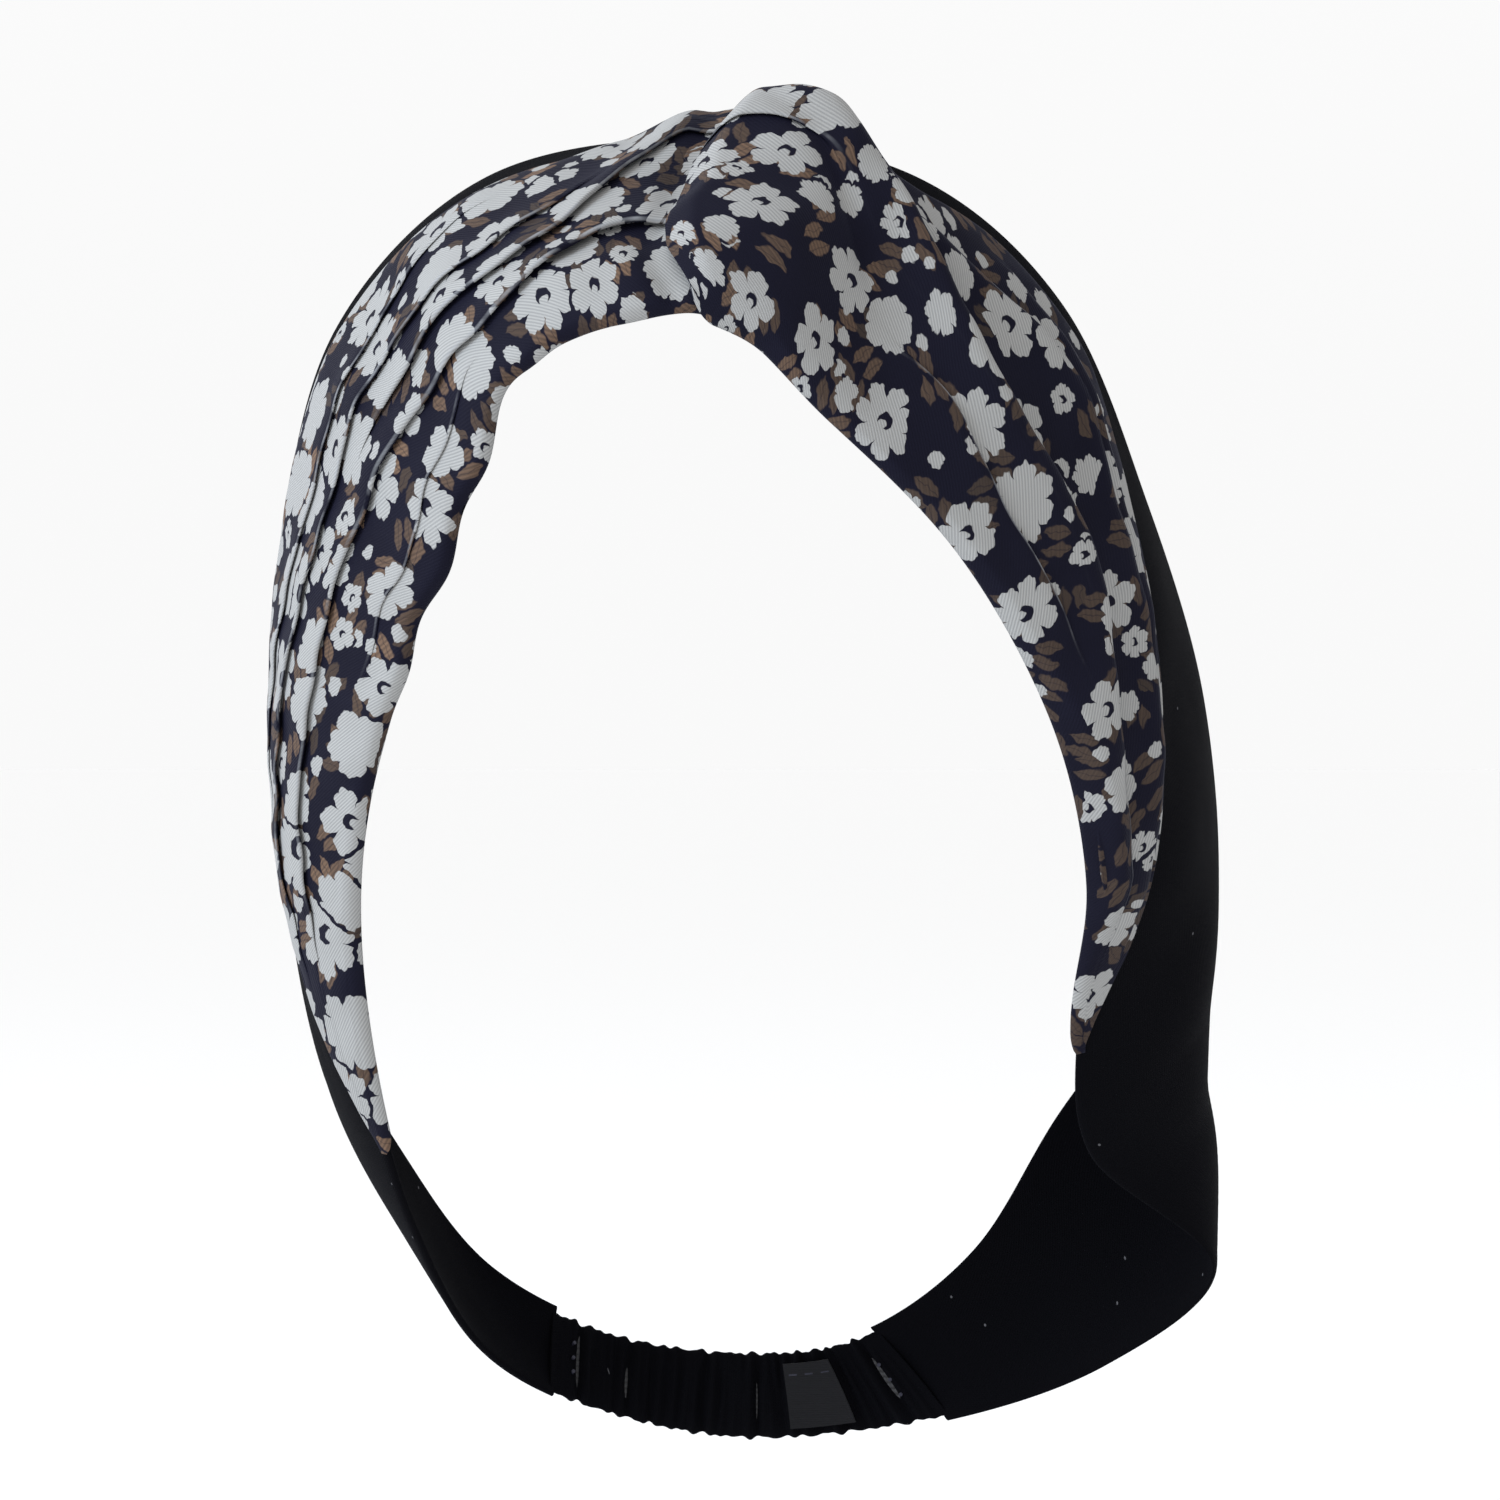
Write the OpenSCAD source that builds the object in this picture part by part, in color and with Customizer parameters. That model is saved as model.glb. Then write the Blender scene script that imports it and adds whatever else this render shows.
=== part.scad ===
// Knotted headband: a closed soft loop worn over the crown and under the back of the head.
// Two pleated strips of printed cloth cross in a knot above the forehead. They lie on a
// wider band of black jersey, which narrows into a gathered elastic casing at the nape.
// Origin: middle of the crown's front edge, where the band sits on the head.
// +X is the viewer's right when the wearer faces the viewer, +Y the back of the head, +Z up.

/* [Loop] */
// Clear width between the two front edges at their widest, at the cheekbones
inner_w = 136; // [126:1:146]
// Depth from the crown's front edge to the nape
loop_d = 132; // [122:1:142]
// Height from the crown's front edge to the bottom of the nape
loop_h = 218; // [204:1:232]

/* [Printed strips] */
// Thickness of the pleated strip in its middle
strip_t = 4.2; // [3:0.1:5]
// Thickness of the strip at its folded edges
strip_edge_t = 1.4; // [1:0.1:2]
// Thickness of the left strip where the knot presses it flat
pressed_t = 2.4; // [2:0.1:3]
// Extra height of the knot above the pleated strip
knot_rise = 3.4; // [2:0.1:5]

/* [Jersey band] */
// Thickness of the folded jersey, two layers together
panel_t = 1.6; // [1.2:0.1:2]
// Thickness of the seam tape under the crown
tape_t = 0.7; // [0.5:0.1:1]
// Free space between one layer of cloth and the next
layer_gap = 0.4; // [0.3:0.1:0.6]

/* [Nape] */
// Thickness of the gathered casing, cloth and folds together
casing_t = 6; // [5:0.1:7]
// Thickness of the casing's wall
casing_wall = 1.2; // [0.8:0.1:1.5]
// Width of the flat elastic
elastic_w = 12; // [10:1:13]
// Thickness of the flat elastic
elastic_t = 1.2; // [1:0.1:1.6]
// Length of the folded care label across the casing
label_l = 13; // [10:1:14]
// Width of the care label along the casing
label_w = 11; // [9:1:14]

/* [Thread] */
// Diameter of a stitch
stitch_d = 0.8; // [0.6:0.1:0.9]
// Distance from one stitch to the next
stitch_pitch = 4; // [3:0.5:6]

/* [Hidden] */

// The band's two edges and its outward bulge between them, at stations round the loop.
// Station 0 is the crown; they run down the right side to the nape and up the left side.
// Each is [front edge, rear edge, bulge], for a loop 136 wide, 132 deep and 218 high.
// Past the side of the head the front edge becomes the lower edge, and the rear the upper.
STATIONS = [
    [[0, 0, -3], [0, 50, 31], 4],
    [[23, 5, -22], [36, 54, 24], 5],
    [[46, 14, -46], [62, 61, 1], 5],
    [[62, 26, -76], [77, 72, -35], 5],
    [[68, 43, -106], [87, 85, -70], 7],
    [[65, 60, -132], [88, 99, -100], 11],
    [[67, 78, -158], [77, 113, -127], 16],
    [[90, 102, -181], [59, 121, -153], 12],
    [[69, 119, -201], [43, 126, -179], 6],
    [[37, 128, -213], [22, 130, -195], 3],
    [[0, 132, -218], [0, 132, -199], 1],
    [[-28, 124, -212], [-28, 131, -195], 2],
    [[-50, 108, -198], [-52, 126, -182], 2],
    [[-61, 87, -173], [-68, 119, -160], 4],
    [[-66, 68, -147], [-79, 110, -137], 6],
    [[-68, 53, -117], [-85, 100, -108], 6],
    [[-65, 41, -92], [-87, 89, -76], 6],
    [[-56, 27, -66], [-85, 78, -42], 6],
    [[-43, 14, -37], [-73, 66, -2], 6],
    [[-30, 4, -9], [-43, 55, 25], 5]];
COUNT = len(STATIONS);
SCALE = [inner_w / 136, loop_d / 132, loop_h / 218];

// Where along the loop, in stations, each piece begins and ends
STRIP_END_LEFT = -6.35;
STRIP_END_RIGHT = 5.12;
KNOT_FOLD = -0.12;
UNDER_KNOT = 0.3;
CROWN_GAP = 0.006;
CASING_RIGHT = 8.95;
CASING_LEFT = 11.45;
SEW_GAP = 0.015;

// How far back each strip reaches across the band: [station, share of the band's width]
REACH_RIGHT = [[-0.3, 0.95], [1.5, 0.93], [2.2, 0.9], [3, 0.67], [3.6, 0.42],
               [4, 0.29], [4.4, 0.19], [4.8, 0.1], [5.12, 0.04]];
REACH_LEFT = [[-6.35, 0.06], [-6, 0.13], [-5.5, 0.3], [-5, 0.44], [-4, 0.7],
              [-3, 0.85], [-2, 0.92], [0.3, 0.95]];

PANEL_COLOR = [0.05, 0.05, 0.07];
PRINT_COLOR = [0.55, 0.55, 0.58];
THREAD_COLOR = [0.09, 0.09, 0.16];
ELASTIC_COLOR = [0.15, 0.15, 0.16];
LABEL_COLOR = [0.25, 0.25, 0.27];

// ---- the band's own coordinates: t along the loop, v across it, n outward ----

function station(i) = STATIONS[((i % COUNT) + COUNT) % COUNT];
function sized(p) = [p.x * SCALE.x, p.y * SCALE.y, p.z * SCALE.z];
function curve(a, b, c, d, f) =
    0.5 * (2 * b + (c - a) * f + (2 * a - 5 * b + 4 * c - d) * f * f
           + (3 * b - a - 3 * c + d) * f * f * f);
function along(t, k) =
    let (i = floor(t), f = t - i)
    curve(station(i - 1)[k], station(i)[k], station(i + 1)[k], station(i + 2)[k], f);
function front_edge(t) = sized(along(t, 0));
function rear_edge(t) = sized(along(t, 1));
function unit(p) = p / norm(p);
function middle(t) = (front_edge(t) + rear_edge(t)) / 2;
function outward(t) =
    unit(cross(middle(t + 0.01) - middle(t - 0.01), rear_edge(t) - front_edge(t)));
function band_point(t, v, n) =
    let (a = front_edge(t), b = rear_edge(t))
    a + (b - a) * v + outward(t) * (along(t, 2) * 4 * v * (1 - v) + n);
function ramp(a, b, x) =
    let (q = max(0, min(1, (x - a) / (b - a))))
    q * q * (3 - 2 * q);

// ---- closed solids in those coordinates ----

function grid_face(a, b, c, d) = [[a, b, c], [a, c, d]];
function flat_list(list) = [for (part = list) for (item = part) item];

// A sheet of cloth from station t0 to t1, between v0(t) and v1(t), n0(t, s) and n1(t, s)
module cloth(t0, t1, rows, cols, v0, v1, n0, n1) {
    ts = [for (i = [0 : rows]) t0 + (t1 - t0) * i / rows];
    ss = [for (j = [0 : cols]) j / cols];
    layer = (rows + 1) * (cols + 1);
    top = [for (t = ts) for (s = ss) band_point(t, v0(t) + (v1(t) - v0(t)) * s, n1(t, s))];
    under = [for (t = ts) for (s = ss) band_point(t, v0(t) + (v1(t) - v0(t)) * s, n0(t, s))];
    at = function(i, j) i * (cols + 1) + j;
    low = function(i, j) layer + at(i, j);
    faces = flat_list([
        for (i = [0 : rows - 1]) for (j = [0 : cols - 1])
            grid_face(at(i, j), at(i, j + 1), at(i + 1, j + 1), at(i + 1, j)),
        for (i = [0 : rows - 1]) for (j = [0 : cols - 1])
            grid_face(low(i, j), low(i + 1, j), low(i + 1, j + 1), low(i, j + 1)),
        for (i = [0 : rows - 1]) grid_face(at(i, 0), at(i + 1, 0), low(i + 1, 0), low(i, 0)),
        for (i = [0 : rows - 1])
            grid_face(at(i + 1, cols), at(i, cols), low(i, cols), low(i + 1, cols)),
        for (j = [0 : cols - 1]) grid_face(at(0, j + 1), at(0, j), low(0, j), low(0, j + 1)),
        for (j = [0 : cols - 1])
            grid_face(at(rows, j), at(rows, j + 1), low(rows, j + 1), low(rows, j))]);
    polyhedron(concat(top, under), faces);
}

// An open-ended tube of cloth: an oval ring of the given half sizes, swept along the loop
module sleeve(t0, t1, rows, sides, half_v, half_n, mid_n, wall_v, wall_n) {
    ring = function(t, dv, dn) [
        for (k = [0 : sides - 1])
            band_point(t, 0.5 + dv * cos(360 * k / sides), mid_n + dn * sin(360 * k / sides))];
    ts = [for (i = [0 : rows]) t0 + (t1 - t0) * i / rows];
    outer = flat_list([for (t = ts) ring(t, half_v, half_n)]);
    inner = flat_list([for (t = ts) ring(t, half_v - wall_v, half_n - wall_n)]);
    o = function(i, k) i * sides + k % sides;
    q = function(i, k) len(outer) + o(i, k);
    faces = flat_list([
        for (i = [0 : rows - 1]) for (k = [0 : sides - 1])
            grid_face(o(i, k), o(i + 1, k), o(i + 1, k + 1), o(i, k + 1)),
        for (i = [0 : rows - 1]) for (k = [0 : sides - 1])
            grid_face(q(i, k), q(i, k + 1), q(i + 1, k + 1), q(i + 1, k)),
        for (k = [0 : sides - 1]) grid_face(o(0, k), o(0, k + 1), q(0, k + 1), q(0, k)),
        for (k = [0 : sides - 1])
            grid_face(o(rows, k), q(rows, k), q(rows, k + 1), o(rows, k + 1))]);
    polyhedron(concat(outer, inner), faces);
}

// One stitch: a short thread from point a to point b
module stitch(a, b) {
    d = b - a;
    translate(a)
        rotate([0, acos(d.z / norm(d)), atan2(d.y, d.x)])
            cylinder(h = norm(d), d = stitch_d, $fn = 6);
}

// A row of stitches along the loop at depth n, following v(t)
module stitch_row(t0, t1, v, n) {
    run = norm(middle(t1) - middle((t0 + t1) / 2)) + norm(middle((t0 + t1) / 2) - middle(t0));
    count = round(run / stitch_pitch);
    step = (t1 - t0) / count;
    for (i = [0 : count - 1]) {
        a = t0 + step * i;
        stitch(band_point(a, v(a), n), band_point(a + step * 0.6, v(a + step * 0.6), n));
    }
}

// ---- printed strips ----

strip_under = panel_t + layer_gap;
// Thickness across a strip: thin at its two folded edges and full between them
function plump(s) = sqrt(1 - pow(abs(2 * s - 1), 3));
function strip_height(full, s) = strip_edge_t + (full - strip_edge_t) * plump(s);
function left_full(t) = strip_t + (pressed_t - strip_t) * ramp(-0.7, -0.2, t);
// The right strip climbs over the left one at the knot and comes down again by station 0.8
function right_under(t) = strip_under + (pressed_t + layer_gap) * (1 - ramp(0.35, 0.8, t));
// Its rolled fold rises quickly from the left, and the knot sinks into the strip by station 1.2
function right_full(t) =
    strip_edge_t + (strip_t - strip_edge_t) * sqrt(ramp(KNOT_FOLD - 0.05, 0.25, t))
    + knot_rise * ramp(KNOT_FOLD - 0.05, 0.3, t) * (1 - ramp(0.5, 1.2, t));

module front_strip_left() {
    color(PRINT_COLOR)
        cloth(STRIP_END_LEFT, UNDER_KNOT, 44, 10,
              function(t) 0, function(t) lookup(t, REACH_LEFT),
              function(t, s) strip_under,
              function(t, s) strip_under + strip_height(left_full(t), s));
}

module front_strip_right() {
    color(PRINT_COLOR)
        cloth(KNOT_FOLD, STRIP_END_RIGHT, 44, 10,
              function(t) 0, function(t) lookup(t, REACH_RIGHT),
              function(t, s) right_under(t),
              function(t, s) right_under(t) + strip_height(right_full(t), s));
}

// ---- jersey band ----

module back_panel(t0, t1) {
    cloth(t0, t1, 40, 6, function(t) 0, function(t) 1,
          function(t, s) 0, function(t, s) panel_t);
}

module back_panel_left() {
    color(PANEL_COLOR) back_panel(CASING_LEFT + SEW_GAP - COUNT, -CROWN_GAP);
}

module back_panel_right() {
    color(PANEL_COLOR) back_panel(CROWN_GAP, CASING_RIGHT - SEW_GAP);
}

// A flat tape that covers the seam between the two panels on the head side
module crown_seam_tape() {
    color(PANEL_COLOR)
        cloth(-0.12, 0.12, 2, 6, function(t) 0.04, function(t) 0.96,
              function(t, s) -layer_gap / 2 - tape_t, function(t, s) -layer_gap / 2);
}

// ---- thread that holds the layers ----

seam_n = panel_t + layer_gap / 2;

// Blind stitches under the strips' front edges
module edge_seam_left() {
    color(THREAD_COLOR) stitch_row(-6.2, -0.2, function(t) 0.03, seam_n);
}

module edge_seam_right() {
    color(THREAD_COLOR) stitch_row(0.9, 5, function(t) 0.03, seam_n);
}

// Blind stitches under the strips' rear edges, where they taper, 4 mm from the edge
function seam_inset(t) = 4 / norm(rear_edge(t) - front_edge(t));
module side_seam_left() {
    color(THREAD_COLOR)
        stitch_row(-6, -3, function(t) lookup(t, REACH_LEFT) - seam_inset(t), seam_n);
}

module side_seam_right() {
    color(THREAD_COLOR)
        stitch_row(2.4, 4.7, function(t) lookup(t, REACH_RIGHT) - seam_inset(t), seam_n);
}

// Upright threads that fix the right strip to the left one inside the knot
module knot_tack() {
    color(THREAD_COLOR)
        for (v = [0.35, 0.5, 0.65])
            stitch(band_point(0.12, v, strip_under + 0.6),
                   band_point(0.12, v, strip_under + pressed_t + layer_gap + 2));
}

// ---- nape ----

casing_mid_n = panel_t / 2;
function casing_height(t) = norm(rear_edge(t) - front_edge(t));

module nape_casing() {
    color(PANEL_COLOR)
        sleeve(CASING_RIGHT, CASING_LEFT, 18, 12, 0.5, casing_t / 2, casing_mid_n,
               casing_wall / casing_height(COUNT / 2), casing_wall);
}

module nape_elastic() {
    half = function(t) elastic_w / 2 / casing_height(t);
    color(ELASTIC_COLOR)
        cloth(CASING_RIGHT + 0.03, CASING_LEFT - 0.03, 14, 1,
              function(t) 0.5 - half(t), function(t) 0.5 + half(t),
              function(t, s) casing_mid_n - elastic_t / 2,
              function(t, s) casing_mid_n + elastic_t / 2);
}

// Threads through the casing and the end of the elastic
module elastic_tack(t) {
    for (k = [-1 : 1])
        stitch(band_point(t, 0.5 + k * 0.16, casing_mid_n - casing_t / 2 + 0.2),
               band_point(t, 0.5 + k * 0.16, casing_mid_n + casing_t / 2 - 0.2));
}

module elastic_tack_left() {
    color(THREAD_COLOR) elastic_tack(CASING_LEFT - 0.16);
}

module elastic_tack_right() {
    color(THREAD_COLOR) elastic_tack(CASING_RIGHT + 0.16);
}

// Stitches across the outer wall at the casing's ends, where the panels join it
module casing_seam(t) {
    for (k = [-2 : 2])
        stitch(band_point(t, 0.5 + k * 0.13 - 0.04, casing_mid_n + casing_t / 2 - 0.5),
               band_point(t, 0.5 + k * 0.13 + 0.04, casing_mid_n + casing_t / 2 - 0.5));
}

module casing_seam_left() {
    color(THREAD_COLOR) casing_seam(CASING_LEFT - 0.06);
}

module casing_seam_right() {
    color(THREAD_COLOR) casing_seam(CASING_RIGHT + 0.06);
}

// A blank folded label on the head side of the casing, a little right of the middle
label_n = casing_mid_n - casing_t / 2 - layer_gap;
label_t = 9.6;
module care_label() {
    half_t = label_w / 2 / norm(middle(label_t + 0.5) - middle(label_t - 0.5));
    half_v = label_l / 2 / casing_height(label_t);
    color(LABEL_COLOR)
        cloth(label_t - half_t, label_t + half_t, 4, 4,
              function(t) 0.5 - half_v, function(t) 0.5 + half_v,
              function(t, s) label_n - 0.6, function(t, s) label_n);
}

module label_stitches() {
    color(THREAD_COLOR)
        for (k = [-1, 0, 1])
            stitch(band_point(label_t + k * 0.12 - 0.03, 0.72, label_n - 0.3),
                   band_point(label_t + k * 0.12 + 0.03, 0.72, label_n - 0.3));
}

front_strip_left();
front_strip_right();
back_panel_left();
back_panel_right();
crown_seam_tape();
knot_tack();
edge_seam_left();
edge_seam_right();
side_seam_left();
side_seam_right();
nape_casing();
nape_elastic();
casing_seam_left();
casing_seam_right();
elastic_tack_left();
elastic_tack_right();
care_label();
label_stitches();
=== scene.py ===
"""Knotted headband: pleated printed strips over a black jersey band with a ruched nape."""
import math

import bmesh
import bpy
import numpy as np
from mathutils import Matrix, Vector


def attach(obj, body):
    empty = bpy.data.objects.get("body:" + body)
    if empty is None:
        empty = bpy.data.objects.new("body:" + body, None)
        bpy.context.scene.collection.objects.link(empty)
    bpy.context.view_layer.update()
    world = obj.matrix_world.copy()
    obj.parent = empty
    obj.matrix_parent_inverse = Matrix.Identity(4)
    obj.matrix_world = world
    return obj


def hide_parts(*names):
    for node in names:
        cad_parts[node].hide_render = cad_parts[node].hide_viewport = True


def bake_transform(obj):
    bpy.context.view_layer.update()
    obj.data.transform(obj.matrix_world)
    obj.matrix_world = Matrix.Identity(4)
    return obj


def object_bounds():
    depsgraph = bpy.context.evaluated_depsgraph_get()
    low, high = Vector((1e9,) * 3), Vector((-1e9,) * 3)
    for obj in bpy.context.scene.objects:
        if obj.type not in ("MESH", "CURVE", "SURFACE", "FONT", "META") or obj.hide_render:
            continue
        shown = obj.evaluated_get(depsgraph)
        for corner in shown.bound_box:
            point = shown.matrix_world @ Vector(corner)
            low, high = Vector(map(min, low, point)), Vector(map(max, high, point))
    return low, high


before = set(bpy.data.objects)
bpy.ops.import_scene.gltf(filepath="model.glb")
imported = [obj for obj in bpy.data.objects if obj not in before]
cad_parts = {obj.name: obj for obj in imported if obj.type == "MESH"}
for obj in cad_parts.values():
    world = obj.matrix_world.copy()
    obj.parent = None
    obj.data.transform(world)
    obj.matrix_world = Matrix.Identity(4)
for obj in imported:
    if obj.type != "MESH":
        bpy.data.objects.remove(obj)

cad_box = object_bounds()
MM = 0.001
SEED = 7


# ---------------- camera, light and floor

TARGET = Vector((0.00553, 0.04644, -0.0814))
CAMERA_AZIMUTH = math.radians(4.5)
CAMERA_DISTANCE = 1.346
FRAME_WIDTH = 0.2775
SENSOR = 36.0
KEY_LIGHT = dict(place=(-1.7, -1.0, 0.9), size=1.0, watts=38.0, colour=(0.76, 0.87, 1.0))
FILL_LIGHT = dict(place=(1.8, -1.4, 0.4), size=1.4, watts=1.0, colour=(1.0, 1.0, 1.0))
# The sky's gradients, as (part of the direction, value) ends
SKY_LOW, SKY_HIGH = (0.05, 0.95), (0.9, 1.13)
SKY_LEFT, SKY_RIGHT = (-0.8, 0.6), (0.8, -0.6)
SIDE_FADES_IN, SIDE_IS_FULL = (0.12, 0.0), (0.4, 1.0)
# The floor is lower than the band, because a stretched nape comes 25 mm further down.
FLOOR_GAP = 0.027
FLOOR_RADIUS = 60.0
FLOOR_SIDES = 64
FLOOR_COLOUR = (0.88, 0.88, 0.88, 1.0)


def make_camera():
    """The camera at the height of the loop's middle, a little to the viewer's right."""
    data = bpy.data.cameras.new("camera")
    data.sensor_width = SENSOR
    data.lens = SENSOR * CAMERA_DISTANCE / FRAME_WIDTH
    camera = bpy.data.objects.new("camera", data)
    bpy.context.scene.collection.objects.link(camera)
    back = Vector((math.sin(CAMERA_AZIMUTH), -math.cos(CAMERA_AZIMUTH), 0.0))
    camera.location = TARGET + back * CAMERA_DISTANCE
    camera.rotation_mode = "QUATERNION"
    camera.rotation_quaternion = (-back).to_track_quat("-Z", "Y")
    bpy.context.scene.camera = camera


def area_light(name, place, size, watts, colour):
    """A square soft light at a place, aimed at the middle of the headband."""
    data = bpy.data.lights.new(name, "AREA")
    data.shape = "SQUARE"
    data.size = size
    data.energy = watts
    data.color = colour
    light = bpy.data.objects.new(name, data)
    bpy.context.scene.collection.objects.link(light)
    light.location = place
    light.rotation_mode = "QUATERNION"
    light.rotation_quaternion = (TARGET - Vector(place)).to_track_quat("-Z", "Y")


def make_sky():
    """A bright overcast sky, brighter high up and, above the horizon, to the left."""
    world = bpy.data.worlds.new("studio")
    world.use_nodes = True
    nodes, links = world.node_tree.nodes, world.node_tree.links
    background = nodes["Background"]
    background.inputs["Color"].default_value = (1.0, 1.0, 1.0, 1.0)
    place = nodes.new("ShaderNodeTexCoord")
    parts = nodes.new("ShaderNodeSeparateXYZ")
    links.new(place.outputs["Generated"], parts.inputs[0])

    def graded(axis, low, high):
        """A value that goes from one (direction, value) end to the other along an axis."""
        made = nodes.new("ShaderNodeMapRange")
        made.inputs["From Min"].default_value, made.inputs["To Min"].default_value = low
        made.inputs["From Max"].default_value, made.inputs["To Max"].default_value = high
        links.new(parts.outputs[axis], made.inputs["Value"])
        return made.outputs[0]

    def combined(operation, *values):
        """One math node on two or three values."""
        made = nodes.new("ShaderNodeMath")
        made.operation = operation
        for socket, value in zip(made.inputs, values):
            if isinstance(value, bpy.types.NodeSocket):
                links.new(value, socket)
            else:
                socket.default_value = value
        return made.outputs[0]

    rise = graded("Z", SKY_LOW, SKY_HIGH)
    side = graded("X", SKY_LEFT, SKY_RIGHT)
    above = graded("Z", SIDE_FADES_IN, SIDE_IS_FULL)
    gain = combined("MULTIPLY_ADD", side, above, 1.0)
    links.new(combined("MULTIPLY", rise, gain), background.inputs["Strength"])
    bpy.context.scene.world = world


def make_lights():
    """Soft cool light from the left, a weak fill from the right, and the sky."""
    area_light("key", **KEY_LIGHT)
    area_light("fill", **FILL_LIGHT)
    make_sky()
    bpy.context.scene.view_settings.view_transform = "Standard"


def make_floor():
    """A wide pale floor below the headband."""
    floor_z = cad_box[0].z - FLOOR_GAP
    verts = [(0.0, 0.0, floor_z)]
    for k in range(FLOOR_SIDES):
        a = 2 * math.pi * k / FLOOR_SIDES
        verts.append((FLOOR_RADIUS * math.cos(a), FLOOR_RADIUS * math.sin(a), floor_z))
    faces = [(0, 1 + k, 1 + (k + 1) % FLOOR_SIDES) for k in range(FLOOR_SIDES)]
    mesh = bpy.data.meshes.new("studio_floor")
    mesh.from_pydata(verts, [], faces)
    floor = bpy.data.objects.new("studio_floor", mesh)
    bpy.context.scene.collection.objects.link(floor)
    material = bpy.data.materials.new("floor_paint")
    material.use_nodes = True
    shader = material.node_tree.nodes["Principled BSDF"]
    shader.inputs["Base Color"].default_value = FLOOR_COLOUR
    shader.inputs["Roughness"].default_value = 0.95
    shader.inputs["Specular IOR Level"].default_value = 0.1
    mesh.materials.append(material)


# ---------------- the band's own coordinates

# Stations round the loop, as in part.scad, in millimetres: front edge, rear edge, bulge.
STATIONS = [
    ((0, 0, -3), (0, 50, 31), 4), ((23, 5, -22), (36, 54, 24), 5),
    ((46, 14, -46), (62, 61, 1), 5), ((62, 26, -76), (77, 72, -35), 5),
    ((68, 43, -106), (87, 85, -70), 7), ((65, 60, -132), (88, 99, -100), 11),
    ((67, 78, -158), (77, 113, -127), 16), ((90, 102, -181), (59, 121, -153), 12),
    ((69, 119, -201), (43, 126, -179), 6), ((37, 128, -213), (22, 130, -195), 3),
    ((0, 132, -218), (0, 132, -199), 1), ((-28, 124, -212), (-28, 131, -195), 2),
    ((-50, 108, -198), (-52, 126, -182), 2), ((-61, 87, -173), (-68, 119, -160), 4),
    ((-66, 68, -147), (-79, 110, -137), 6), ((-68, 53, -117), (-85, 100, -108), 6),
    ((-65, 41, -92), (-87, 89, -76), 6), ((-56, 27, -66), (-85, 78, -42), 6),
    ((-43, 14, -37), (-73, 66, -2), 6), ((-30, 4, -9), (-43, 55, 25), 5)]
FRONT = np.array([s[0] for s in STATIONS], float)
REAR = np.array([s[1] for s in STATIONS], float)
BULGE = np.array([s[2] for s in STATIONS], float)

# Layers outward from the head, in millimetres, as in part.scad
PANEL_T = 1.6
STRIP_UNDER = 2.0
STRIP_T = 4.2
STRIP_EDGE_T = 1.4
PRESSED_T = 2.4
CASING_MID = 0.8
CASING_HALF = 3.0
CASING_WALL = 1.2

# Ends of the casing and of the panels, in stations: the panels' visible cloth runs a
# little way into the casing, past the gap that part.scad leaves there.
CASING_RIGHT = 8.95
CASING_LEFT = 11.45
SEW_GAP = 0.015
SEWN_OVERLAP = 0.04
CROWN_GAP = 0.001


def along(values, t):
    """Closed Catmull-Rom curve through one list of station values."""
    i = np.floor(t).astype(int)
    f = t - i
    if values.ndim == 2:
        f = f[..., None]
    a, b, c, d = (values[(i + k) % len(STATIONS)] for k in (-1, 0, 1, 2))
    return 0.5 * (2 * b + (c - a) * f + (2 * a - 5 * b + 4 * c - d) * f * f
                  + (3 * b - a - 3 * c + d) * f ** 3)


def band_width(t):
    """Distance across the band between its two edges, in millimetres."""
    t = np.asarray(t, float)
    return np.linalg.norm(along(REAR, t) - along(FRONT, t), axis=-1)


def band_point(t, v, n):
    """Point at station t, share v across the band and height n above it, in millimetres."""
    t, v, n = np.broadcast_arrays(*(np.asarray(x, float) for x in (t, v, n)))
    a, b = along(FRONT, t), along(REAR, t)
    step = 0.01
    run = (along(FRONT, t + step) + along(REAR, t + step)
           - along(FRONT, t - step) - along(REAR, t - step))
    out = np.cross(run, b - a)
    out /= np.linalg.norm(out, axis=-1, keepdims=True)
    bulge = along(BULGE, t) * 4 * v * (1 - v)
    return a + (b - a) * v[..., None] + out * (bulge + n)[..., None]


def ramp(low, high, x):
    """Smooth step from 0 at low to 1 at high."""
    q = np.clip((np.asarray(x, float) - low) / (high - low), 0, 1)
    return q * q * (3 - 2 * q)


def track(points, t, smoothing=0.35):
    """Smooth curve near (t, value) points, flat beyond its ends."""
    xs = np.array([p[0] for p in points], float)
    ys = np.array([p[1] for p in points], float)
    fine = np.linspace(xs[0], xs[-1], 400)
    rough = np.interp(fine, xs, ys)
    width = max(3, int(round(smoothing / (fine[1] - fine[0]))))
    kernel = np.hanning(width + 2)[1:-1]
    padded = np.pad(rough, width, mode="edge")
    smooth = np.convolve(padded, kernel / kernel.sum(), mode="same")[width:-width]
    return np.interp(t, fine, smooth)


class Ripple:
    """Gentle repeatable unevenness: a few sine waves with seeded directions and phases."""

    def __init__(self, seed, wavelengths, height):
        rng = np.random.default_rng(seed)
        self.waves = []
        for length in wavelengths:
            angle = rng.uniform(0, math.pi)
            phase = rng.uniform(0, 2 * math.pi)
            self.waves.append((math.cos(angle) / length, math.sin(angle) / length, phase))
        self.height = height / math.sqrt(len(wavelengths))

    def __call__(self, x, y):
        total = sum(np.sin(2 * math.pi * (a * x + b * y) + p) for a, b, p in self.waves)
        return self.height * total


# ---------------- meshes from rings

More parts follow.
